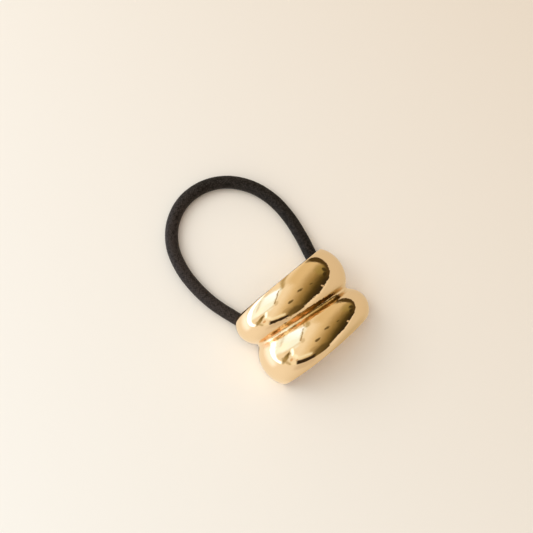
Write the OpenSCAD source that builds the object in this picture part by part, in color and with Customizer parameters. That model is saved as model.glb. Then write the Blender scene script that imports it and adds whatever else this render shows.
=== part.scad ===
// Metal cuff hair tie: a two-lobed cuff that arches over the tied hair, with an elastic loop
// held in two soldered eyes on its inner side. It lies as on a table: one rim's corners touch
// the table and the other rim lies on the elastic, so the cuff is rolled a little.
// Millimetres, +Z up. The origin is under the middle of the cuff, on the table.

/* [Cuff] */
// Half the length of the arch at its feet, measured at the rims
arch_half_length = 16.9; // [15:0.1:19]
// Height of the arch above its feet, measured at the rims
arch_height = 14.7; // [13:0.1:17]
// How far the arch leaves an ellipse towards a pointed arch
arch_point = 0.08; // [0:0.01:0.12]
// Half the width of the cuff, from its middle to a rim
half_width = 13.3; // [12:0.1:15]
// Thickness of the metal at the crest of a lobe
wall = 1.3; // [1:0.1:1.6]
// Sideways run of the rims for each millimetre of length
rim_lean = 0.07; // [0:0.01:0.08]

/* [Lobes and groove] */
// Height of a lobe's crest above the arch
lobe_height = 3.05; // [2.5:0.05:3.5]
// Power that shapes a lobe's section, where 0.5 is an ellipse
lobe_power = 0.8; // [0.6:0.05:1]
// Distance from the middle of the groove to where a lobe would end
groove_gap = 0.6; // [0.3:0.1:0.9]
// Rounding of the groove's floor
groove_rounding = 1.2; // [0.8:0.1:1.6]
// Sideways run of the groove for each millimetre of length, against the rims' run
groove_lean = 0.036; // [0:0.002:0.05]

/* [Elastic] */
// Diameter of the round elastic
elastic_d = 4; // [3.8:0.1:4]
// Gap left between the elastic and the foot that lies over it
rest_gap = 0.25; // [0.2:0.05:0.4]

/* [Eyes] */
// Diameter of the wire that an eye is bent from
eye_wire_d = 1; // [0.8:0.1:1]
// Gap between an eye and the elastic in it
eye_gap = 0.2; // [0.15:0.05:0.25]

/* [Hidden] */

gold = [0.86, 0.68, 0.38];
black = [0.09, 0.08, 0.08];

// Sections along the arch, and points across each half of a section
sections = 44;
half_points = 14;
// Share of a lobe's half width past which its groove side runs straight
straight_from = 0.9;
// Extra set-back of the inner side of the groove, so that the metal keeps its thickness there
inner_gap = 0.5;
// Distance from the line of contact to the part of the foot that lies over the elastic
foot_reach = 23.4;
roll = asin((elastic_d + rest_gap) / foot_reach);

// The elastic's middle line, a closed loop that starts where it goes under the right rim:
// x, y, and how far it rises above where it would lie on the table. It rises only where it
// goes through the two eyes, under the cuff.
plan = [
    [14.2, 16.4, 0],
    [13.3, 10.6, 0.1],
    [12.7, 5.2, 1],
    [12, -0.2, 1.8],
    [9.9, -4.3, 1.4],
    [6.2, -7.2, 0.6],
    [1.6, -8.4, 0.2],
    [-3.1, -7.6, 0.2],
    [-7, -5.1, 0.9],
    [-10.2, -1.4, 1.6],
    [-12.7, 2.4, 1.8],
    [-14.4, 6.1, 0.9],
    [-16.1, 9.8, 0.1],
    [-18, 13.7, 0],
    [-20.9, 21.1, 0],
    [-22.6, 29, 0],
    [-22.9, 37.2, 0],
    [-21.1, 45.4, 0],
    [-16.4, 52.1, 0],
    [-9.2, 56.1, 0],
    [-1, 56.2, 0],
    [6.3, 52.8, 0],
    [11.8, 46.6, 0],
    [14.9, 38.9, 0],
    [15.8, 30.7, 0],
    [15.2, 22.5, 0]
];
route = [for (p = plan) [p[0], p[1], elastic_d / 2 + p[2]]];
right_eye = 3;
left_eye = 10;
rings_per_span = 3;
tube_sides = 12;

// A point of the arch's line at an angle from its top, and the direction out of the arch there
function arch_x(a) = arch_half_length * sin(a) * (1 - arch_point * cos(a) ^ 2);
function arch_z(a) = arch_height * cos(a) * (1 - arch_point * sin(a) ^ 2);
function arch_dx(a) =
    arch_half_length * (cos(a) * (1 - arch_point * cos(a) ^ 2) + 2 * arch_point * sin(a) ^ 2 * cos(a));
function arch_dz(a) =
    arch_height * (-sin(a) * (1 - arch_point * sin(a) ^ 2) - 2 * arch_point * cos(a) ^ 2 * sin(a));
function arch_out(a) = [-arch_dz(a), arch_dx(a)] / norm([arch_dz(a), arch_dx(a)]);

// Where the groove and the two rims run, at x along the cuff
function groove_y(x) = -groove_lean * x;
function rim_y(x, side, width) = side * width + rim_lean * x;

// Height of one lobe above the arch: a dome, whose groove side ends in a straight slope
function dome(u) = u < 1 ? (1 - u ^ 2) ^ lobe_power : 0;
slope_start = dome(straight_from);
slope = -2 * lobe_power * straight_from * (1 - straight_from ^ 2) ^ (lobe_power - 1);
function lobe(y, x, side, width, gap) =
    let (
        inner = groove_y(x) + side * gap,
        outer = rim_y(x, side, width),
        middle = (inner + outer) / 2,
        half = abs(outer - inner) / 2,
        u = (y - middle) * side / half
    )
    u < -straight_from ? slope_start + slope * (-u - straight_from) : dome(abs(u));

// Both lobes together, with the groove between them rounded
function blend(a, b, r) =
    let (t = max(0, min(1, 0.5 + 0.5 * (a - b) / r)))
    b * (1 - t) + a * t + r * t * (1 - t);
function lobes(y, x, width, gap) =
    blend(
        lobe_height * lobe(y, x, 1, width, gap),
        lobe_height * lobe(y, x, -1, width, gap),
        groove_rounding
    );

// Places across a section, closer together at the groove and at the rims
function across(x, width) = [
    for (i = [-half_points:half_points])
        let (share = (1 - cos(180 * abs(i) / half_points)) / 2, side = sign(i))
        groove_y(x) + share * (rim_y(x, side, width) - groove_y(x))
];
function surface_row(a, width, gap, base) =
    let (x = arch_x(a), out = arch_out(a))
    [for (y = across(x, width))
        let (h = base + lobes(y, x, width, gap))
        [x + out[0] * h, y, arch_z(a) + out[1] * h]];
function section_row(a) = concat(
    surface_row(a, half_width, groove_gap, 0),
    reverse(surface_row(a, half_width - wall, groove_gap + inner_gap, -wall))
);
function reverse(list) = [for (i = [len(list) - 1:-1:0]) list[i]];
function flatten(lists) = [for (list = lists) each list];

// The cuff rolls about the line through its two corners on the table
corner = [-arch_half_length, -half_width - rim_lean * arch_half_length];
contact_angle = atan(rim_lean);
function rolled(p) =
    let (
        dx = p[0] - corner[0],
        dy = p[1] - corner[1],
        along = dx * cos(contact_angle) + dy * sin(contact_angle),
        beside = -dx * sin(contact_angle) + dy * cos(contact_angle),
        level = beside * cos(roll) - p[2] * sin(roll)
    )
    [
        along * cos(contact_angle) - level * sin(contact_angle),
        along * sin(contact_angle) + level * cos(contact_angle),
        beside * sin(roll) + p[2] * cos(roll)
    ];
shell_points = [for (i = [0:sections]) each [for (p = section_row(-90 + 180 * i / sections)) rolled(p)]];
function middle_of(values) = (min(values) + max(values)) / 2;
centre = [middle_of([for (p = shell_points) p[0]]), middle_of([for (p = shell_points) p[1]]), 0];

// One ring of points joined to the next, with a last ring joined to the first if closed
function strips(rings, size, closed) = [
    for (i = [0:rings - (closed ? 1 : 2)], j = [0:size - 1])
        let (k = (j + 1) % size, n = (i + 1) % rings)
        each [
            [i * size + j, i * size + k, n * size + k],
            [i * size + j, n * size + k, n * size + j]
        ]
];
// A foot's flat face, as a strip between the outer and the inner line
function foot_face(first, size, flip) = [
    for (j = [0:size / 2 - 2])
        let (a = first + j, b = first + j + 1, c = first + size - 2 - j, d = first + size - 1 - j)
        each (flip ? [[a, c, b], [a, d, c]] : [[a, b, c], [a, c, d]])
];

module shell() {
    size = 2 * (2 * half_points + 1);
    translate(-centre)
        polyhedron(
            points = shell_points,
            faces = concat(
                strips(sections + 1, size, false),
                foot_face(0, size, true),
                foot_face(sections * size, size, false)
            ),
            convexity = 6
        );
}

// A smooth closed curve through the route's points
function on_route(i) = route[(i + len(route)) % len(route)];
function curve_at(i, t) =
    let (a = on_route(i - 1), b = on_route(i), c = on_route(i + 1), d = on_route(i + 2))
    (2 * b + (c - a) * t + (2 * a - 5 * b + 4 * c - d) * t ^ 2 + (3 * b - a - 3 * c + d) * t ^ 3) / 2;
// The curve's points, with none lower than the elastic lies on the table
curve = [
    for (i = [0:len(route) - 1], s = [0:rings_per_span - 1])
        let (p = curve_at(i, s / rings_per_span))
        [p[0], p[1], max(p[2], elastic_d / 2)]
];
function unit(v) = v / norm(v);

function tube_ring(i) =
    let (
        n = len(curve),
        way = unit(curve[(i + 1) % n] - curve[(i + n - 1) % n]),
        side = unit(cross(way, [0, 0, 1])),
        up = cross(side, way)
    )
    [for (k = [0:tube_sides - 1])
        curve[i] + elastic_d / 2 * (cos(360 * k / tube_sides) * side + sin(360 * k / tube_sides) * up)];

// A wire ring round the elastic, soldered to the inner side of a foot
module eye(index) {
    way = unit(on_route(index + 1) - on_route(index - 1));
    turn = atan2(way[1], way[0]);
    lean = acos(way[2]);
    translate(on_route(index))
        rotate([0, lean, turn])
            rotate_extrude($fn = 48)
                translate([elastic_d / 2 + eye_gap + eye_wire_d / 2, 0])
                    circle(d = eye_wire_d, $fn = 24);
}

module cuff() {
    color(gold) {
        shell();
        eye(right_eye);
        eye(left_eye);
    }
}

module elastic() {
    color(black)
        polyhedron(
            points = flatten([for (i = [0:len(curve) - 1]) tube_ring(i)]),
            faces = strips(len(curve), tube_sides, true),
            convexity = 6
        );
}

cuff();
elastic();
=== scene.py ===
# %% [markdown]
# # A polished cuff hair tie
#
# This lesson dresses a small measured model: a gold cuff with two rounded lobes, and the black
# elastic loop that it is held by. The measured model gives the sizes and the places. Here each
# piece gets its true surface: a braid on the elastic, and a mirror polish on the cuff.
# All lengths are in metres, and the object lies on a table at height 0.

# %% Open the measured model
import math

import bpy
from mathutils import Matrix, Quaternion, Vector


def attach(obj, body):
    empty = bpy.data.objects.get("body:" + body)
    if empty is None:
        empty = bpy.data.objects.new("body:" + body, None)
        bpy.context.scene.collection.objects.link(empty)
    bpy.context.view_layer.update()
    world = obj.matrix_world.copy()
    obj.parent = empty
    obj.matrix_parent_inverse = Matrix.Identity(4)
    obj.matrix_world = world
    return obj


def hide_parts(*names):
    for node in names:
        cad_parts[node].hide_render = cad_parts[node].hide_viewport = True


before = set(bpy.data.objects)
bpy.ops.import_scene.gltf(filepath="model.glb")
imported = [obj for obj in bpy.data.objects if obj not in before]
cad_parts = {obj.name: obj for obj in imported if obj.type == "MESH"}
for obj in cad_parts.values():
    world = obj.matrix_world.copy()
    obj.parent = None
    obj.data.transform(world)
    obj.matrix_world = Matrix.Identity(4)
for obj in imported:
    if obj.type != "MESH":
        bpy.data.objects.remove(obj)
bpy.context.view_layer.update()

MM = 0.001

# %% [markdown]
# ## The camera
#
# The picture is taken from almost straight above, a little from the cuff's near side, and the
# camera is turned so that the cuff lies slantwise. A camera can be aimed with a constraint, or
# turned by typed angles. Here it is aimed at a point on the table and then rolled about its own
# line of sight, because both numbers are easy to understand and to correct.

# %% Set up the camera
CAMERA_PLACE = Vector((-12.8, -30.3, 221.8)) * MM
AIM_POINT = Vector((0.3, 21.5, 0)) * MM
CAMERA_ROLL = math.radians(-21.66)
LENS_MM = 46.7
SENSOR_WIDTH_MM = 36
NEAREST_SEEN = 10 * MM

aim = (AIM_POINT - CAMERA_PLACE).to_track_quat("-Z", "Y")
camera = bpy.data.objects.new("camera", bpy.data.cameras.new("camera"))
camera.data.lens = LENS_MM
camera.data.sensor_width = SENSOR_WIDTH_MM
camera.data.clip_start = NEAREST_SEEN
camera.location = CAMERA_PLACE
camera.rotation_mode = "QUATERNION"
camera.rotation_quaternion = aim @ Quaternion((0, 0, 1), CAMERA_ROLL)
bpy.context.scene.collection.objects.link(camera)
bpy.context.scene.camera = camera
print("camera stands", round((AIM_POINT - CAMERA_PLACE).length, 3), "m from the table")

# %% [markdown]
# ## Helpers for modelling
#
# An operator works on everything that is selected, so each step begins with nothing selected.
# These small helpers keep that in one place: they clear the selection, pick one object, step in
# and out of edit mode, and apply a modifier once its work is done.


# %% Helpers for selecting and applying
def deselect_all():
    if bpy.context.object and bpy.context.object.mode == "EDIT":
        bpy.ops.object.mode_set(mode="OBJECT")
    bpy.ops.object.select_all(action="DESELECT")


def pick(piece):
    deselect_all()
    piece.select_set(True)
    bpy.context.view_layer.objects.active = piece


def start_piece(name):
    """Names the primitive that was just added."""
    piece = bpy.context.object
    piece.name = piece.data.name = name
    return piece


def apply_modifier(piece, kind, **settings):
    pick(piece)
    modifier = piece.modifiers.new(kind.title(), kind)
    for setting, value in settings.items():
        setattr(modifier, setting, value)
    bpy.ops.object.modifier_apply(modifier=modifier.name)


def triangles(piece):
    return sum(len(face.vertices) - 2 for face in piece.data.polygons)


# %% [markdown]
# ## The elastic's path
#
# The elastic is one closed loop. It comes out under one foot of the cuff, lies on the table in a
# slack teardrop, goes in under the other foot and runs through two wire eyes inside. Its middle
# line could be drawn with a curve object, but a curve gives no control over the braid. So the
# line is worked out here from the same points as in the measured model, with the same smooth
# spline, and a mesh is laid along it.

# %% Lay out the path of the elastic
ELASTIC_DIAMETER = 4 * MM
PLAN_MM = [
    # x, y, and how far it rises above the table where it goes through the eyes
    (14.2, 16.4, 0),
    (13.3, 10.6, 0.1),
    (12.7, 5.2, 1),
    (12, -0.2, 1.8),
    (9.9, -4.3, 1.4),
    (6.2, -7.2, 0.6),
    (1.6, -8.4, 0.2),
    (-3.1, -7.6, 0.2),
    (-7, -5.1, 0.9),
    (-10.2, -1.4, 1.6),
    (-12.7, 2.4, 1.8),
    (-14.4, 6.1, 0.9),
    (-16.1, 9.8, 0.1),
    (-18, 13.7, 0),
    (-20.9, 21.1, 0),
    (-22.6, 29, 0),
    (-22.9, 37.2, 0),
    (-21.1, 45.4, 0),
    (-16.4, 52.1, 0),
    (-9.2, 56.1, 0),
    (-1, 56.2, 0),
    (6.3, 52.8, 0),
    (11.8, 46.6, 0),
    (14.9, 38.9, 0),
    (15.8, 30.7, 0),
    (15.2, 22.5, 0),
]
RIGHT_EYE = 3
LEFT_EYE = 10
RINGS_PER_SPAN = 58

route = [Vector((x, y, z)) * MM + Vector((0, 0, ELASTIC_DIAMETER / 2)) for x, y, z in PLAN_MM]


def on_route(i):
    return route[i % len(route)]


def spline_point(i, t):
    """A smooth point between the route's points i and i + 1."""
    a, b, c, d = (on_route(i + k) for k in (-1, 0, 1, 2))
    point = (
        2 * b + (c - a) * t + (2 * a - 5 * b + 4 * c - d) * t**2 + (3 * b - a - 3 * c + d) * t**3
    ) / 2
    point.z = max(point.z, ELASTIC_DIAMETER / 2)
    return point


middle_line = [
    spline_point(i, s / RINGS_PER_SPAN) for i in range(len(route)) for s in range(RINGS_PER_SPAN)
]
steps = [(middle_line[i] - middle_line[i - 1]).length for i in range(len(middle_line))]
elastic_length = sum(steps)
along = [0.0]
for step in steps[1:]:
    along.append(along[-1] + step)
print("the elastic is", round(elastic_length / MM, 1), "mm round, in", len(middle_line), "rings")

# %% [markdown]
# ## The braided tube
#
# A hair elastic is a rubber core inside a fine braid: two sets of yarns wind round it in opposite
# directions and pass over and under each other. A bump texture would give the look from afar,
# but its outline would stay smooth. So a long flat grid is rolled into a tube along the middle
# line, as a strip of tape is, and its edges are merged. Each point goes in or out a little, by
# the height of the yarn there. A yarn's back is at LOW_BACK where it passes the edge of the yarn
# under it, and higher by CLIMB over that yarn's middle. Away from the cuff the braid isn't pulled
# tight, so the tube gets a little fuller towards the far end of the loop. The grid brings a UV map
# with it, along and around the tube, which the material uses too.

# %% Braid the elastic
YARNS_EACH_WAY = 16
POINTS_AROUND = 4 * YARNS_EACH_WAY
YARN_PITCH = 0.86 * MM
BRAID_DEPTH = 0.1 * MM
LOW_BACK = 0.55
CLIMB = 0.45
FULLEST_PUFF = 0.17 * MM
LOOP_REACH = 56 * MM
MERGE_DISTANCE = 0.001 * MM
crossings = 2 * round(elastic_length / YARN_PITCH / 2)
line_size = len(middle_line)


def braid_height(u, v):
    """1 on top of a crossing, and 0 in the gap between two yarns. u and v count yarns."""
    one_way, other_way = u + v, v - u
    hump_one = max(0, math.sin(math.pi * (one_way % 1)))
    hump_other = max(0, math.sin(math.pi * (other_way % 1)))
    if (math.floor(one_way) + math.floor(other_way)) % 2:
        hump_one, hump_other = hump_other, hump_one
    return math.sqrt(hump_one) * (LOW_BACK + CLIMB * hump_other)


def ring_frame(ring):
    """The middle of a ring, and its sideways and upward directions."""
    way = middle_line[(ring + 1) % line_size] - middle_line[ring - 1]
    side = way.cross(Vector((0, 0, 1))).normalized()
    return middle_line[ring], side, side.cross(way.normalized())


deselect_all()
bpy.ops.mesh.primitive_grid_add(x_subdivisions=line_size, y_subdivisions=POINTS_AROUND, size=1)
elastic = start_piece("elastic_braid")
frames = [ring_frame(ring) for ring in range(line_size)]
for vertex in elastic.data.vertices:
    ring = round((vertex.co.x + 0.5) * line_size) % line_size
    corner = round((vertex.co.y + 0.5) * POINTS_AROUND) % POINTS_AROUND
    centre, side, up = frames[ring]
    turn = 2 * math.pi * corner / POINTS_AROUND
    u = along[ring] / elastic_length * crossings
    v = corner / POINTS_AROUND * YARNS_EACH_WAY
    puff = FULLEST_PUFF * max(0, centre.y) / LOOP_REACH
    height = ELASTIC_DIAMETER / 2 + puff + BRAID_DEPTH * (braid_height(u, v) - 0.5)
    vertex.co = centre + (math.cos(turn) * side + math.sin(turn) * up) * height
    vertex.co.z = max(vertex.co.z, 0)
pick(elastic)
bpy.ops.object.mode_set(mode="EDIT")
bpy.ops.mesh.select_all(action="SELECT")
bpy.ops.mesh.remove_doubles(threshold=MERGE_DISTANCE)
bpy.ops.mesh.normals_make_consistent(inside=False)
bpy.ops.object.mode_set(mode="OBJECT")
bpy.ops.object.shade_smooth()
print("elastic:", triangles(elastic), "triangles,", crossings, "yarn crossings along")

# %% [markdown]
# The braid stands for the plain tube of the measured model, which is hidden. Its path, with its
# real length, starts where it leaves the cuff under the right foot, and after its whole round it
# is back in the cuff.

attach(elastic, "root")
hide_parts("elastic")
elastic_path = [tuple(point) for point in reversed(middle_line + middle_line[:1])]
print("cord leaves the cuff at", [round(x / MM, 1) for x in elastic_path[0]], "mm")

# %% [markdown]
# ## The shape of the cuff
#
# Seen from the side, the cuff is an arch. Seen along the arch, it is two domes side by side with
# a groove between. The same driving sizes as in the measured model give both: a line for the
# arch, and a height above that line for each place across. Rims and groove run a little
# slantwise. Mirror-polished metal shows every flaw, and the measured model's facets would show
# as flat spots, so the surface is worked out again here, much finer.
#
# Some of the driving numbers are shares. ARCH_POINT pulls the shoulders of the arch in, and a
# larger LOBE_POWER makes the domes slimmer. Past STRAIGHT_FROM, a share of its half width, a
# dome runs straight down into the groove. The two leans say how far rims and groove shift
# sideways for each unit along the cuff.

# %% Driving sizes of the cuff
ARCH_HALF_LENGTH = 16.9 * MM
ARCH_HEIGHT = 14.7 * MM
ARCH_POINT = 0.08
HALF_WIDTH = 13.3 * MM
WALL = 1.3 * MM
RIM_LEAN = 0.07
LOBE_HEIGHT = 3.05 * MM
LOBE_POWER = 0.8
GROOVE_GAP = 0.6 * MM
GROOVE_ROUNDING = 1.2 * MM
GROOVE_LEAN = 0.036
INNER_GAP = 0.5 * MM
STRAIGHT_FROM = 0.9
REST_GAP = 0.25 * MM
FOOT_REACH = 23.4 * MM
ROLL = math.asin((ELASTIC_DIAMETER + REST_GAP) / FOOT_REACH)
print("the cuff leans by", round(math.degrees(ROLL), 1), "degrees where it lies on the elastic")


# %% The arch, and the two lobes on it
def arch(angle):
    """A point of the arch's line, x and z, and the direction out of the arch there."""
    s, c = math.sin(angle), math.cos(angle)
    x = ARCH_HALF_LENGTH * s * (1 - ARCH_POINT * c * c)
    z = ARCH_HEIGHT * c * (1 - ARCH_POINT * s * s)
    along_x = ARCH_HALF_LENGTH * (c * (1 - ARCH_POINT * c * c) + 2 * ARCH_POINT * s * s * c)
    along_z = ARCH_HEIGHT * (-s * (1 - ARCH_POINT * s * s) - 2 * ARCH_POINT * c * c * s)
    size = math.hypot(along_x, along_z)
    return x, z, -along_z / size, along_x / size


def dome(u):
    return (1 - u * u) ** LOBE_POWER if u < 1 else 0.0


SLOPE_START = dome(STRAIGHT_FROM)
SLOPE = -2 * LOBE_POWER * STRAIGHT_FROM * (1 - STRAIGHT_FROM**2) ** (LOBE_POWER - 1)


def groove_y(x):
    return -GROOVE_LEAN * x


def rim_y(x, side, half_width):
    return side * half_width + RIM_LEAN * x


def lobe(x, y, side, half_width, gap):
    near, far = groove_y(x) + side * gap, rim_y(x, side, half_width)
    u = (y - (near + far) / 2) * side / (abs(far - near) / 2)
    if u < -STRAIGHT_FROM:
        return SLOPE_START + SLOPE * (-u - STRAIGHT_FROM)
    return dome(abs(u))


def lobes(x, y, half_width, gap):
    """Height above the arch, with the floor of the groove rounded."""
    far_lobe = LOBE_HEIGHT * lobe(x, y, 1, half_width, gap)
    near_lobe = LOBE_HEIGHT * lobe(x, y, -1, half_width, gap)
    t = max(0, min(1, 0.5 + 0.5 * (far_lobe - near_lobe) / GROOVE_ROUNDING))
    return near_lobe * (1 - t) + far_lobe * t + GROOVE_ROUNDING * t * (1 - t)


def skin(angle, across, half_width, gap, base):
    """A point of the outer or the inner side. across runs from -1 to 1, rim to rim."""
    x, z, out_x, out_z = arch(angle)
    side = 1 if across > 0 else -1
    y = groove_y(x) + abs(across) * (rim_y(x, side, half_width) - groove_y(x))
    height = base + lobes(x, y, half_width, gap)
    return Vector((x + out_x * height, y, z + out_z * height))


def cuff_point(angle, across, depth):
    """depth is 0 on the outer side and 1 on the inner side."""
    outer = skin(angle, across, HALF_WIDTH, GROOVE_GAP, 0)
    if depth == 0:
        return rolled(outer)
    inner = skin(angle, across, HALF_WIDTH - WALL, GROOVE_GAP + INNER_GAP, -WALL)
    return rolled(outer.lerp(inner, depth))


# %% [markdown]
# The cuff doesn't stand on its four corners: the elastic lies under one side of it. So the whole
# shape is turned about the line through the two corners that do touch the table, and then
# centred in the same way as the measured model.

# %% Turn the cuff about its two corners on the table
CORNER = Vector((-ARCH_HALF_LENGTH, -HALF_WIDTH - RIM_LEAN * ARCH_HALF_LENGTH, 0))
contact_line = Vector((1, RIM_LEAN, 0)).normalized()
lean = Quaternion(contact_line, ROLL)


def rolled(point):
    return lean @ (point - CORNER)


DEGREES_APART = 3
PLACES_EACH_SIDE = 20
shape = [
    cuff_point(math.radians(angle), across / PLACES_EACH_SIDE, depth)
    for angle in range(-90, 91, DEGREES_APART)
    for across in range(-PLACES_EACH_SIDE, PLACES_EACH_SIDE + 1)
    for depth in (0, 1)
]
centre_x, centre_y = ((min(p[k] for p in shape) + max(p[k] for p in shape)) / 2 for k in (0, 1))
CUFF_CENTRE = Vector((centre_x, centre_y, 0))
print("cuff centred by", [round(x / MM, 2) for x in CUFF_CENTRE], "mm")

# %% [markdown]
# ## Pressing the cuff from a blank
#
# A real cuff is cast, but it can be modelled as if it were pressed from a flat blank: a grid is
# added at the blank's size, extruded to the wall's thickness, and its sharp edges are bevelled.
# They are picked in edge mode, because in vertex mode every edge between two picked points would
# be picked too, and the rims' upright edges would be bevelled for nothing. Two levels of
# subdivision make the blank fine and round its bevels. Only then is each point moved to where
# the formulas put it, so the curved surface has no subdivision wobble in its reflections.
#
# How deep a point lies in the wall is kept as an attribute, because the inner side is polished
# less than the outer side. A second attribute says how near to the groove the point lies.

# %% Make the blank
BLANK_LENGTH = 46 * MM
BLANK_WIDTH = 2 * HALF_WIDTH
FACES_ALONG = 60
FACES_ACROSS = 36
SHARP_ANGLE = math.radians(60)
EDGE_ROUNDING = 0.42 * MM

deselect_all()
bpy.ops.mesh.primitive_grid_add(x_subdivisions=FACES_ALONG, y_subdivisions=FACES_ACROSS, size=1)
cuff = start_piece("polished_cuff")
bpy.ops.object.mode_set(mode="EDIT")
bpy.ops.mesh.select_all(action="SELECT")
bpy.ops.transform.resize(value=(BLANK_LENGTH, BLANK_WIDTH, 1))
bpy.ops.mesh.extrude_region_move(TRANSFORM_OT_translate={"value": (0, 0, -WALL)})
bpy.ops.mesh.select_all(action="SELECT")
bpy.ops.mesh.normals_make_consistent(inside=False)
bpy.ops.mesh.select_all(action="DESELECT")
bpy.ops.mesh.select_mode(type="EDGE")
bpy.ops.mesh.edges_select_sharp(sharpness=SHARP_ANGLE)
bpy.ops.mesh.bevel(offset=EDGE_ROUNDING, segments=3, profile=0.5, affect="EDGES")
bpy.ops.object.mode_set(mode="OBJECT")
apply_modifier(cuff, "SUBSURF", levels=2, render_levels=2)
print("blank:", len(cuff.data.vertices), "points,", round(WALL / MM, 1), "mm thick")

# %% Press the blank into shape
GROOVE_SHARE = 0.32

wall_depth = cuff.data.attributes.new("wall_depth", "FLOAT", "POINT")
groove_nearness = cuff.data.attributes.new("groove_nearness", "FLOAT", "POINT")
for vertex in cuff.data.vertices:
    angle = math.pi * vertex.co.x / BLANK_LENGTH
    across = vertex.co.y / HALF_WIDTH
    depth = min(1, max(0, -vertex.co.z / WALL))
    wall_depth.data[vertex.index].value = depth
    groove_nearness.data[vertex.index].value = max(0, 1 - abs(across) / GROOVE_SHARE)
    vertex.co = cuff_point(angle, across, depth) - CUFF_CENTRE
cuff.data.update()
pick(cuff)
bpy.ops.object.shade_smooth()
low, high = (Vector([f(v.co[k] for v in cuff.data.vertices) for k in range(3)]) for f in (min, max))
print("cuff spans", [round(x / MM, 2) for x in low], "to", [round(x / MM, 2) for x in high], "mm")

# %% [markdown]
# ## The wire eyes
#
# The elastic has to be held inside the cuff, where the picture doesn't show it. The plainest way
# is a wire ring round the elastic at each foot, soldered to the ridge under the groove. Each is
# a torus, added at its place and turned to stand square to the elastic, and a boolean union
# makes it one piece with the cuff, as solder does.

# %% Solder the two eyes in
EYE_WIRE = 1 * MM
EYE_GAP = 0.2 * MM
for name, index in (("right_eye", RIGHT_EYE), ("left_eye", LEFT_EYE)):
    way = (on_route(index + 1) - on_route(index - 1)).normalized()
    deselect_all()
    bpy.ops.mesh.primitive_torus_add(
        major_segments=64,
        minor_segments=20,
        major_radius=ELASTIC_DIAMETER / 2 + EYE_GAP + EYE_WIRE / 2,
        minor_radius=EYE_WIRE / 2,
        location=route[index],
        rotation=way.to_track_quat("Z", "Y").to_euler(),
    )
    eye = start_piece(name)
    bpy.ops.object.transform_apply(location=True, rotation=True, scale=True)
    bpy.ops.object.shade_smooth()
    inside = eye.data.attributes.new("wall_depth", "FLOAT", "POINT")
    inside.data.foreach_set("value", [1.0] * len(eye.data.vertices))
    apply_modifier(cuff, "BOOLEAN", operation="UNION", solver="EXACT", object=eye)
    bpy.data.objects.remove(eye)
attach(cuff, "root")
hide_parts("cuff")
print("cuff with its eyes:", triangles(cuff), "triangles")

# %% [markdown]
# ## Shader maths written as Python
#
# A material's nodes do sums on values that change over a surface. Wiring them by hand is slow to
# read, so a small class wraps a socket, and Python's own signs add the Math nodes. Any other
# node comes from one method, which takes the node's type, its settings and its inputs. Noises,
# axes, bumps and soft steps are needed often, so they have short names of their own.


# %% A class for shader sums
class Shade:
    """A value in a node tree. Its tree and socket are kept, so that signs can add nodes."""

    def __init__(self, tree, socket=None):
        self.tree, self.socket = tree, socket

    def node(self, kind, settings=None, inputs=None, output=0):
        made = self.tree.nodes.new(kind)
        for setting, value in (settings or {}).items():
            setattr(made, setting, value)
        for key, value in (inputs or {}).items():
            if isinstance(value, Shade):
                self.tree.links.new(value.socket, made.inputs[key])
            else:
                made.inputs[key].default_value = value
        return Shade(self.tree, made.outputs[output])

    def math(self, operation, *values):
        return self.node("ShaderNodeMath", {"operation": operation}, dict(enumerate(values)))

    def __add__(self, other):
        return self.math("ADD", self, other)

    def __sub__(self, other):
        return self.math("SUBTRACT", self, other)

    def __rsub__(self, other):
        return self.math("SUBTRACT", other, self)

    def __mul__(self, other):
        return self.math("MULTIPLY", self, other)

    def __truediv__(self, other):
        return self.math("DIVIDE", self, other)

    __radd__ = __add__
    __rmul__ = __mul__

    def size(self):
        return self.math("ABSOLUTE", self)

    def soft_step(self, low, high, before, after):
        """One number below low, another above high, and a smooth step between."""
        # The Map Range node takes the value first, then the range it is in and the range to give
        return self.node(
            "ShaderNodeMapRange",
            {"interpolation_type": "SMOOTHSTEP"},
            {0: self, 1: low, 2: high, 3: before, 4: after},
        )

    def rise(self, low, high):
        """0 below low and 1 above high."""
        return self.soft_step(low, high, 0.0, 1.0)

    def fall(self, low, high):
        """1 below low and 0 above high."""
        return self.soft_step(low, high, 1.0, 0.0)

    def between(self, first, second):
        """A colour that goes from first to second as this share goes from 0 to 1."""
        # The Mix node keeps its two colours at 6 and 7, and gives the mixed colour at 2
        inputs = {0: self, 6: as_colour(first), 7: as_colour(second)}
        return self.node("ShaderNodeMix", {"data_type": "RGBA"}, inputs, output=2)

    def axis(self, name):
        """One number of this place, its X, Y or Z."""
        return self.node("ShaderNodeSeparateXYZ", inputs={0: self}, output=name)

    def stretched(self, factors):
        return self.node("ShaderNodeVectorMath", {"operation": "MULTIPLY"}, {0: self, 1: factors})

    def noise(self, scale, detail, output=0):
        """A noise from 0 to 1 that changes with this place, or three of them as a colour."""
        inputs = {"Vector": self, "Scale": scale, "Detail": detail}
        return self.node("ShaderNodeTexNoise", inputs=inputs, output=output)

    def bump(self, strength, depth):
        """The way a surface faces when this height is added to it."""
        inputs = {"Strength": strength, "Distance": depth, "Height": self}
        return self.node("ShaderNodeBump", inputs=inputs, output="Normal")


# %% Helpers for colours and materials
def as_colour(value):
    return value if isinstance(value, Shade) else (*value, 1.0)


def lay(colour, new_colour, share):
    """A colour with a share of a new colour laid over it."""
    return share.between(colour, new_colour)


def new_material(name, **constants):
    """A material with its principled shader, whose constants are set on its own sockets."""
    material = bpy.data.materials.new(name)
    material.use_nodes = True
    shader = material.node_tree.nodes["Principled BSDF"]
    for socket, value in constants.items():
        shader.inputs[socket.replace("_", " ")].default_value = value
    return material, shader


def wire(shader, name, value):
    value.tree.links.new(value.socket, shader.inputs[name])


def dress(piece, material):
    piece.data.materials.clear()
    piece.data.materials.append(material)
    print(material.name, "on", piece.name, "has", len(material.node_tree.nodes), "nodes")
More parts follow.
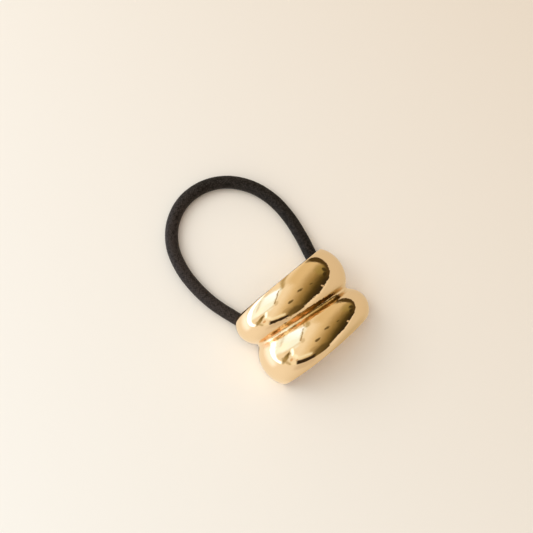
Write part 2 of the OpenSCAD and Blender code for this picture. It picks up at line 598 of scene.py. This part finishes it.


# %% [markdown]
# ## Gold plate
#
# The cuff is plated in pale gold and polished to a mirror. A metal has no colour of its own apart
# from the tint of its reflections, so the base colour is that tint, and a paler second tint warms
# the light that glances off its edges. Real polish is never perfect: broad, shallow waves are left
# in the surface, and fine wipe marks make it a little less sharp in places. A polishing wheel
# can't reach into the groove, so ripples are left there. On the groove's walls the tint is painted
# ruddy, as a painted reflection, and darker in streaks, as painted shade, with gaps between the
# streaks. The inner side is left satin, with a fine grain. All this could be painted on a picture,
# but noises and soft steps on Object coordinates stay sharp from any distance. Two attributes from
# the pressing step say how deep in the wall a point lies, and how near to the groove.

# %% Where the finishes of the gold and its painted groove shade lie
EDGE_TINT = (0.98, 0.94, 0.87, 1.0)
STREAKS_START = (-16.5 * MM, -14.5 * MM)
STREAKS_END = (11.5 * MM, 16.5 * MM)
STREAK_GAP_PHASE = -7.5 * MM
STREAK_GAP_STEP = 5.4 * MM
STREAK_GAPS_END = (-6 * MM, -4 * MM)

gold, gold_shader = new_material("gold_plate", Metallic=1.0, Specular_Tint=EDGE_TINT)
start = Shade(gold.node_tree)
place = start.node("ShaderNodeTexCoord", output="Object")
cuff_x = place.axis("X")
in_wall = start.node("ShaderNodeAttribute", {"attribute_name": "wall_depth"}, output="Fac")
inner_side = in_wall.rise(0.4, 0.9)
in_groove = start.node("ShaderNodeAttribute", {"attribute_name": "groove_nearness"}, output="Fac")
# The groove's walls, where a ruddy painted reflection and painted shade are laid on the tint
groove_wall = in_groove.rise(0.60, 0.72) * in_groove.fall(0.90, 0.97) * (1 - inner_side)
groove_wall = groove_wall * cuff_x.rise(*STREAKS_START) * cuff_x.fall(*STREAKS_END)
# The painted reflection and shade on the groove's walls have gaps every few millimetres on the left
streak_gaps = start.math("COSINE", (cuff_x - STREAK_GAP_PHASE) * (2 * math.pi / STREAK_GAP_STEP)).rise(0.45, 0.75)
groove_wall = groove_wall * (1 - streak_gaps * cuff_x.fall(*STREAK_GAPS_END))
print("the groove's walls are wiped clean every", round(STREAK_GAP_STEP / MM, 1), "mm on the left")

# %% Tint, gloss and polish of the gold
GOLD_TINT = (0.92, 0.69, 0.43)
SATIN_TINT = (0.88, 0.65, 0.38)
RUDDY_REFLECTION_TINT = (0.88, 0.49, 0.23)
RUDDY_REFLECTION_SHARE = 0.68
GROOVE_SHADE_TINT = (0.46, 0.32, 0.12)
MORE_GROOVE_SHADE_RIGHT = 10.0
STREAK_STRETCH = (260.0, 1400.0, 700.0)
MIRROR_ROUGHNESS = 0.01
WIPED_ROUGHNESS = 0.03
SATIN_ROUGHNESS = 0.22
RIPPLE_STRETCH = (1000.0, 2400.0, 1000.0)
RIPPLE_HEIGHT = 3.5
GRAIN_HEIGHT = 0.6
POLISH_DEPTH = 0.02 * MM

streaks = place.stretched(STREAK_STRETCH).noise(scale=1.0, detail=2.0)
# Darker streaks of painted shade on the groove's walls, more of them to the right
groove_shade = groove_wall * (streaks + cuff_x * MORE_GROOVE_SHADE_RIGHT).rise(0.45, 0.57)
tint = inner_side.between(GOLD_TINT, SATIN_TINT)
# A ruddy painted reflection on the groove's walls, then the streaks of painted shade
tint = lay(tint, RUDDY_REFLECTION_TINT, groove_wall * RUDDY_REFLECTION_SHARE)
tint = lay(tint, GROOVE_SHADE_TINT, groove_shade)
wire(gold_shader, "Base Color", tint)

wipe_marks = place.noise(scale=900.0, detail=4.0)
roughness = MIRROR_ROUGHNESS + wipe_marks * WIPED_ROUGHNESS + inner_side * SATIN_ROUGHNESS
wire(gold_shader, "Roughness", roughness)

waves = place.noise(scale=420.0, detail=2.0)
ripples = place.stretched(RIPPLE_STRETCH).noise(scale=1.0, detail=1.0)
grain = place.noise(scale=5000.0, detail=2.0)
unevenness = waves + ripples * in_groove * RIPPLE_HEIGHT + grain * inner_side * GRAIN_HEIGHT
wire(gold_shader, "Normal", unevenness.bump(1.0, POLISH_DEPTH))
dress(cuff, gold)

# %% [markdown]
# ## Black braid
#
# The braid is dyed black. Its yarns' backs are painted lighter and the gaps between them darker,
# as painted shade between the yarns. The UV map counts yarns, so the same sums as in the modelling
# step give the height of the braid at any point, and finer threads are drawn along each yarn as a
# bump. Real dye doesn't take evenly, so a noise fades it in small patches. The left side of the
# loop, towards the window, is painted a little paler, as painted light. The gloss is weak and
# slightly warm, as on dry thread.

# %% The yarns again, as shader sums
DRY_GLOSS_TINT = (1.0, 0.84, 0.74, 1.0)
THREADS_PER_YARN = 4

braid, braid_shader = new_material(
    "black_braid", Roughness=0.6, Specular_IOR_Level=0.26, Specular_Tint=DRY_GLOSS_TINT
)
start = Shade(braid.node_tree)
tube_map = start.node("ShaderNodeUVMap", {"uv_map": elastic.data.uv_layers[0].name})
lengthwise = tube_map.axis("X") * crossings
around = tube_map.axis("Y") * YARNS_EACH_WAY
one_way = lengthwise + around
other_way = around - lengthwise


def hump(value):
    """0 along a yarn's edges and 1 along its middle."""
    return start.math("SINE", start.math("FRACT", value) * math.pi)


def yarn_back(own, crossing):
    """The height of a yarn's back, which dips at the edges of the yarn that it crosses."""
    return start.math("SQRT", hump(own)) * (LOW_BACK + CLIMB * hump(crossing))


def threads(value):
    """Fine threads that lie side by side in a yarn."""
    return start.math("SINE", value * (2 * math.pi * THREADS_PER_YARN)) * 0.5 + 0.5


parity = start.math("FLOOR", one_way) + start.math("FLOOR", other_way)
other_on_top = start.math("PINGPONG", parity, 1.0)
one_on_top = 1 - other_on_top
back = yarn_back(one_way, other_way) * one_on_top + yarn_back(other_way, one_way) * other_on_top
thread = threads(one_way) * one_on_top + threads(other_way) * other_on_top
print("each yarn has", THREADS_PER_YARN, "threads")

# %% Dye, threads and painted light on the braid
GAP_SHADE = (0.0, 0.0, 0.0)
YARN_DYE = (0.038, 0.032, 0.030)
LIT_SIDE_TINT = (0.046, 0.037, 0.036)
LIT_SIDE_SPAN = (-18 * MM, 2 * MM)
THREAD_SHARE = 0.35
THREAD_DEPTH = 0.03 * MM

place = start.node("ShaderNodeTexCoord", output="Object")
fade = place.noise(scale=1500.0, detail=2.0)
# The yarns' backs are painted lighter than the black gaps, as painted shade between the yarns
lit_and_dyed = back * (1 - THREAD_SHARE + THREAD_SHARE * thread) * fade.rise(0.35, 0.65)
# The left side of the loop, towards the window, is painted paler, as painted light
lit_side = place.axis("X").fall(*LIT_SIDE_SPAN) * back * fade.rise(0.2, 0.65)
braid_colour = lay(lay(GAP_SHADE, YARN_DYE, lit_and_dyed), LIT_SIDE_TINT, lit_side)
wire(braid_shader, "Base Color", braid_colour)
wire(braid_shader, "Normal", (back + thread * THREAD_SHARE).bump(0.6, THREAD_DEPTH))
dress(elastic, braid)

# %% [markdown]
# ## The table
#
# The object lies on a plain pale table, whose colour is painted darker and warmer away from the
# window, as painted light falloff. It isn't part of the object. Its reflection in the gold is left
# to the room below, which has the table's colour under its horizon: the table itself is kept out
# of mirror reflections.

# %% The table
TABLE_SIZE = 4
PALE_IN_WINDOW_LIGHT = (0.838, 0.826, 0.808)
PALE_AWAY_FROM_WINDOW = (0.724, 0.642, 0.558)
LIGHT_FALLOFF_WIDTH = 0.26

deselect_all()
bpy.ops.mesh.primitive_plane_add(size=TABLE_SIZE)
table = start_piece("table")
pale, pale_shader = new_material("pale_table", Roughness=0.9, Specular_IOR_Level=0.1)
start = Shade(pale.node_tree)
across_table = start.node("ShaderNodeTexCoord", output="Object").axis("X")
# The table's colour is painted darker and warmer away from the window, as painted light falloff
tint = (across_table / LIGHT_FALLOFF_WIDTH + 0.5).between(PALE_IN_WINDOW_LIGHT, PALE_AWAY_FROM_WINDOW)
wire(pale_shader, "Base Color", tint)
dress(table, pale)
table.visible_glossy = False

# %% [markdown]
# ## Light
#
# The light comes softly from a window on the left, so each piece has a soft shadow on its right.
# One large area light does that. The world adds soft light from all round, which is brighter
# towards the window and from above, and warm on the dim side.

# %% The window's light
WINDOW_LIGHT_PLACE = Vector((-0.30, 0.51, 0.55))
WINDOW_LIGHT_SIZE = 0.5
WINDOW_LIGHT_WATTS = 1.6
WINDOW_LIGHT_TINT = (0.98, 1.0, 1.02)
window = bpy.data.objects.new("window_light", bpy.data.lights.new("window_light", "AREA"))
window.data.shape = "SQUARE"
window.data.size = WINDOW_LIGHT_SIZE
window.data.energy = WINDOW_LIGHT_WATTS
window.data.color = WINDOW_LIGHT_TINT
window.location = WINDOW_LIGHT_PLACE
window.rotation_mode = "QUATERNION"
window.rotation_quaternion = (-WINDOW_LIGHT_PLACE).to_track_quat("-Z", "Y")
window.visible_glossy = False
bpy.context.scene.collection.objects.link(window)
print("the window's light hangs", round(WINDOW_LIGHT_PLACE.length, 2), "m away")

# %% [markdown]
# ## The room in the mirror
#
# Polished metal is a picture of the room around it. The room could be modelled as walls and
# lamps, but a painted one in the world shader is easier to tune: only mirror rays see it, and
# everything else sees a plain, graded light. The direction of a ray is turned into a flat map of
# the room, as in a fish-eye picture taken upwards: the middle is overhead, and the circle of
# radius 1 is the horizon, with the table's colour outside it. A slow noise bends the map a little,
# because nothing in such a mirror looks quite straight. On that map the window, the pale ceiling,
# the dark far side of the room and a few lamps are soft-edged shapes.

# %% A fish-eye map of the room
MAP_RIGHT = (0.8228, -0.5474, 0.1527)
MAP_UP = (0.5680, 0.8014, -0.1876)
OVERHEAD = (-0.0197, 0.2411, 0.9703)
NEARLY_ZERO = 1e-8
WARP = 0.035

world = bpy.data.worlds.new("room")
world.use_nodes = True
world.node_tree.nodes.clear()
start = Shade(world.node_tree)
direction = start.node("ShaderNodeTexCoord", output="Generated")


def along_direction(axis):
    inputs = {0: direction, 1: axis}
    return start.node("ShaderNodeVectorMath", {"operation": "DOT_PRODUCT"}, inputs, output="Value")


def bend(channel):
    """How far the map is bent here, along one of its two axes."""
    share = start.node("ShaderNodeSeparateColor", inputs={0: waviness}, output=channel)
    return (share - 0.5) * WARP * 2


right, ahead, upward = (along_direction(axis) for axis in (MAP_RIGHT, MAP_UP, OVERHEAD))
flat = start.math("SQRT", right * right + ahead * ahead + NEARLY_ZERO)
radius = start.math("ARCCOSINE", upward) / (math.pi / 2)
waviness = direction.noise(scale=7.0, detail=2.0, output="Color")
x = right / flat * radius + bend("Red")
y = ahead / flat * radius + bend("Green")
print("the map is bent by up to", WARP, "of the way from overhead to the horizon")


# %% [markdown]
# The shapes on the map are three: a rectangle, an ellipse, and a strip between two points. Each
# gives 1 inside, 0 outside and a soft step between, and takes its places in map units. A group of
# strokes is a table of what each one shows, with its colour and its share, and the strokes are
# laid over each other in that order.


# %% Soft shapes on the map
BLOB_CORE = 0.6
BLOB_END = 1.3


def turned(centre, degrees):
    """The map's x and y, measured from a centre and along turned axes."""
    c, s = math.cos(math.radians(degrees)), math.sin(math.radians(degrees))
    from_x, from_y = x - centre[0], y - centre[1]
    return from_x * c + from_y * s, from_y * c - from_x * s


def panel(centre, half_size, turn, blur):
    u, v = turned(centre, turn)
    within_u = u.size().fall(half_size[0] - blur, half_size[0] + blur)
    return within_u * v.size().fall(half_size[1] - blur, half_size[1] + blur)


def blob(centre, half_size, turn):
    u, v = turned(centre, turn)
    u, v = u / half_size[0], v / half_size[1]
    return start.math("SQRT", u * u + v * v).fall(BLOB_CORE, BLOB_END)


def strip(first, last, half_width, blur):
    run_x, run_y = last[0] - first[0], last[1] - first[1]
    length = math.hypot(run_x, run_y)
    u, v = turned(first, math.degrees(math.atan2(run_y, run_x)))
    past_end = u - start.math("MINIMUM", start.math("MAXIMUM", u, 0.0), length)
    distance = start.math("SQRT", past_end * past_end + v * v)
    return distance.fall(half_width - blur, half_width + blur)


def paint(picture, strokes):
    for colour, share in strokes.values():
        picture = lay(picture, colour, share)
    print("painted:", ", ".join(strokes))
    return picture


# %% Paint the ceiling, from the pale side to the dark side
CEILING = (1.0, 0.94, 0.80)
DULL_CEILING = (0.80, 0.66, 0.42)
DARK_SPOT = (0.05, 0.035, 0.012)

to_dark_side = x * 0.96 - y * 0.26 + y.rise(-0.1, 0.4) * 0.05 - 0.015
duller = to_dark_side + y.rise(0.15, 0.5) * 0.3
skirting = (radius + y.rise(0.75, 0.92) * 0.08).rise(0.93, 1.02) * y.rise(0.25, 0.5)
skirting = skirting * (x * 0.65 + y * 0.76).rise(0.66, 0.81)
dark_side = {
    "brown side": ((0.40, 0.29, 0.115), to_dark_side.rise(0.1, 0.5)),
    "dark side": ((0.10, 0.07, 0.018), to_dark_side.rise(0.4, 0.75)),
    "darkest end": ((0.042, 0.030, 0.013), to_dark_side.rise(0.65, 0.9)),
    "dark corner below": ((0.10, 0.07, 0.025), blob((0.42, -0.74), (0.26, 0.17), 20) * 0.75),
    "paler corner above": ((0.36, 0.30, 0.10), blob((0.62, 0.62), (0.22, 0.14), -35) * 0.5),
    "shade by the sill": ((0.30, 0.22, 0.09), blob((0.15, -0.66), (0.14, 0.09), 0) * 0.35),
    "skirting board": ((0.085, 0.055, 0.018), skirting),
}
room = paint(duller.rise(-0.15, 0.2).between(CEILING, DULL_CEILING), dark_side)
for centre, turn in (((0.72, 0.61), -35), ((0.82, 0.46), -60)):
    room = lay(room, DARK_SPOT, blob(centre, (0.10, 0.05), turn) * 0.9)

# %% Paint the window
GLASS = (2.2, 2.4, 3.0)
PANE_BRIGHT = (1.25, 1.60, 2.30)
PANE_DIM = (1.09, 1.38, 1.64)

pane_light = (x * 0.6 + y * 0.8).rise(-0.38, 0.05).between(PANE_DIM, PANE_BRIGHT)
low_pane = (radius - y.fall(-0.5, 0.0) * 0.06).rise(0.85, 0.90) * x.fall(-0.6, -0.45)
low_pane = low_pane * y.fall(0.45, 0.62) * y.rise(-0.72, -0.56)
window_parts = {
    "thin curtain": ((1.08, 1.34, 1.53), panel((-0.58, 0.02), (0.30, 0.33), -10, 0.07) * 0.9),
    "upper pane": (pane_light, panel((-0.50, 0.13), (0.17, 0.17), -6, 0.035)),
    "brighter corner": ((1.25, 1.4, 1.5), panel((-0.68, -0.14), (0.12, 0.12), -25, 0.05) * 0.8),
    "lower pane": (GLASS, low_pane),
}
room = paint(room, window_parts)

# %% Paint the window's frame and the curtain's folds
FRAME_BROWN = (0.45, 0.33, 0.15)

frame_and_folds = {
    "ruddy fold": ((0.72, 0.52, 0.30), strip((-0.74, 0.30), (-0.75, -0.04), 0.022, 0.03) * 0.55),
    "frame": (FRAME_BROWN, strip((-0.31, 0.23), (-0.30, -0.16), 0.019, 0.02) * 0.95),
    "foot of the frame": (FRAME_BROWN, blob((-0.25, -0.20), (0.045, 0.09), 20) * 0.4),
    "low bar": ((0.85, 0.70, 0.48), strip((-0.32, -0.25), (-0.62, -0.36), 0.03, 0.04) * 0.6),
    "gathered edge": ((0.48, 0.38, 0.17), strip((-0.42, 0.74), (-0.23, 0.30), 0.055, 0.045) * 0.85),
    "its upper end": ((0.50, 0.40, 0.22), strip((-0.45, 0.90), (-0.34, 0.62), 0.08, 0.06) * 0.7),
    "soft fold": ((0.80, 0.64, 0.42), blob((-0.64, 0.46), (0.07, 0.12), -20) * 0.35),
}
room = paint(room, frame_and_folds)

# %% Paint the things that stand by the window
by_the_window = {
    "dark shape": ((0.32, 0.25, 0.09), blob((-0.60, -0.55), (0.075, 0.18), -27) * 0.95),
    "its darker middle": ((0.18, 0.13, 0.05), blob((-0.555, -0.47), (0.03, 0.075), -20) * 0.85),
    "its shade": ((0.50, 0.40, 0.22), strip((-0.69, -0.52), (-0.47, -0.86), 0.03, 0.04) * 0.85),
    "white gleam": ((1.5, 1.9, 2.2), strip((-0.48, -0.36), (-0.43, -0.56), 0.026, 0.022) * 0.9),
    "pale gleam": ((1.2, 1.3, 1.25), strip((-0.40, -0.60), (-0.28, -0.74), 0.03, 0.04) * 0.9),
    "long gleam": ((1.03, 1.06, 0.92), strip((-0.28, -0.75), (0.08, -0.79), 0.04, 0.045) * 0.9),
    "ruddy spot": ((0.80, 0.52, 0.30), blob((-0.45, -0.71), (0.035, 0.06), 15) * 0.9),
    "small ruddy spot": ((0.70, 0.44, 0.25), blob((-0.30, -0.80), (0.03, 0.03), 0) * 0.8),
    "last gleam": ((1.02, 0.98, 0.80), strip((-0.42, -0.86), (-0.30, -0.86), 0.03, 0.03) * 0.9),
}
room = paint(room, by_the_window)

# %% Paint the dark sill and the small lamps
LAMP_DARK = (0.12, 0.085, 0.025)
LAMP_FLATNESS = 0.75

sill = radius.rise(0.85, 0.895) * x.rise(-0.33, -0.26) * x.fall(0.2, 0.34) * y.fall(-0.75, -0.6)
small_things = {
    "sill": ((0.045, 0.03, 0.016), sill),
    "pale notch": ((0.80, 0.64, 0.46), blob((0.955, 0.045), (0.045, 0.022), -25) * 0.9),
}
room = paint(room, small_things)
for centre, size in (((0.35, -0.02), 0.075), ((0.18, -0.36), 0.08), ((0.6, 0.14), 0.045)):
    room = lay(room, LAMP_DARK, blob(centre, (size, LAMP_FLATNESS * size), 30) * 0.9)

# %% Paint the table under the horizon
TABLE_BY_WINDOW = (1.0, 0.94, 0.84)
TABLE_FAR_SIDE = (0.78, 0.685, 0.54)

pale_rim = radius.fall(1.0, 1.12) * x.rise(0.5, 0.8) * y.fall(0.3, 0.6)
shine = (x * -0.98 - y * 0.15).rise(0.85, 1.06) * radius.fall(1.05, 1.28) * y.rise(-0.7, -0.5)
dark_edge = radius.rise(1.15, 1.35) * ((y * 0.743 - x * 0.669) / radius).rise(0.90, 0.97)
on_the_table = {
    "pale rim": ((0.94, 0.85, 0.71), pale_rim),
    "shade below": ((0.70, 0.60, 0.49), blob((0.0, -1.08), (0.35, 0.12), 0) * 0.8),
    "dim end": ((0.58, 0.50, 0.33), (x * 0.9 - y * 0.45).rise(1.08, 1.42)),
    "window's shine": ((1.25, 1.35, 1.5), shine),
    "cuff's own shade": ((0.70, 0.60, 0.44), radius.rise(1.15, 1.7) * x.rise(-1.2, -0.2) * 0.7),
    "dark edge": ((0.22, 0.15, 0.07), dark_edge),
}
below = paint(x.rise(-0.9, 0.3).between(TABLE_BY_WINDOW, TABLE_FAR_SIDE), on_the_table)

# %% [markdown]
# The line between room and table isn't a plain circle. It lies a little lower at the upper right,
# a little higher at the lower right, and on the right it is broken by small things on the table.

# %% Join room and table along the horizon
LOWER_ABOVE = 0.065
HIGHER_BELOW = 0.075
CLUTTER_HEIGHT = 0.06
HORIZON_BLUR = 0.012

lower_right = ((x * 0.77 - y * 0.64) / radius).rise(0.87, 1.0) * (x * 0.72 + y * 0.69).rise(-0.03, 0.02)
clutter = direction.noise(scale=10.0, detail=2.0)
horizon = 1 + LOWER_ABOVE * y.rise(-0.1, 0.5) * x.rise(-0.4, 0.4)
horizon = horizon - HIGHER_BELOW * lower_right
horizon = horizon + (clutter - 0.5) * x.rise(0.2, 0.7) * CLUTTER_HEIGHT
mirror_view = lay(room, below, (radius - horizon).rise(-HORIZON_BLUR, HORIZON_BLUR))
print("the painted room has", len(world.node_tree.nodes), "nodes so far")

# %% [markdown]
# A mirror ray is told from all others by the Light Path node. All other rays see plain light: cool
# and bright towards the window, warm and dim away from it, and stronger from above. A mirror ray
# that met a matt surface first carries light from the gold to the table. It sees the plain light
# too, with a bright glint towards the window, which gives the warm glow that polished metal throws
# beside itself, without stray bright spots.

# %% Show the room to mirror rays, and plain light to all others
BRIGHT_SIDE = (1.22, 1.265, 1.205)
DIM_SIDE = (0.60, 0.39, 0.26)
GLINT = (8.0, 7.8, 7.3)
TOWARDS_WINDOW = (-0.49, 0.80, 0.35)
LEVEL_LIGHT = 0.6
EXTRA_FROM_ABOVE = 0.6
BEFORE_ANY_MATT_BOUNCE = 0.5

mirror_ray = start.node("ShaderNodeLightPath", output="Is Glossy Ray")
matt_bounces = start.node("ShaderNodeLightPath", output="Diffuse Depth")
to_window = along_direction(TOWARDS_WINDOW)
plain_light = to_window.rise(-1.0, 1.0).between(DIM_SIDE, BRIGHT_SIDE)
strength = start.math("MAXIMUM", direction.axis("Z"), 0.0) * EXTRA_FROM_ABOVE + LEVEL_LIGHT
scaled = {0: plain_light, "Scale": strength}
plain_light = start.node("ShaderNodeVectorMath", {"operation": "SCALE"}, scaled)
plain_light = lay(plain_light, GLINT, mirror_ray * to_window.rise(0.0, 1.0))
seen_in_metal = mirror_ray * start.math("LESS_THAN", matt_bounces, BEFORE_ANY_MATT_BOUNCE)
painted = start.node("ShaderNodeBackground", inputs={"Color": mirror_view})
plain = start.node("ShaderNodeBackground", inputs={"Color": plain_light})
shown = start.node("ShaderNodeMixShader", inputs={0: seen_in_metal, 1: plain, 2: painted})
world_output = world.node_tree.nodes.new("ShaderNodeOutputWorld")
world.node_tree.links.new(shown.socket, world_output.inputs["Surface"])
bpy.context.scene.world = world
bpy.context.scene.view_settings.view_transform = "Standard"
print("room:", len(world.node_tree.nodes), "nodes")
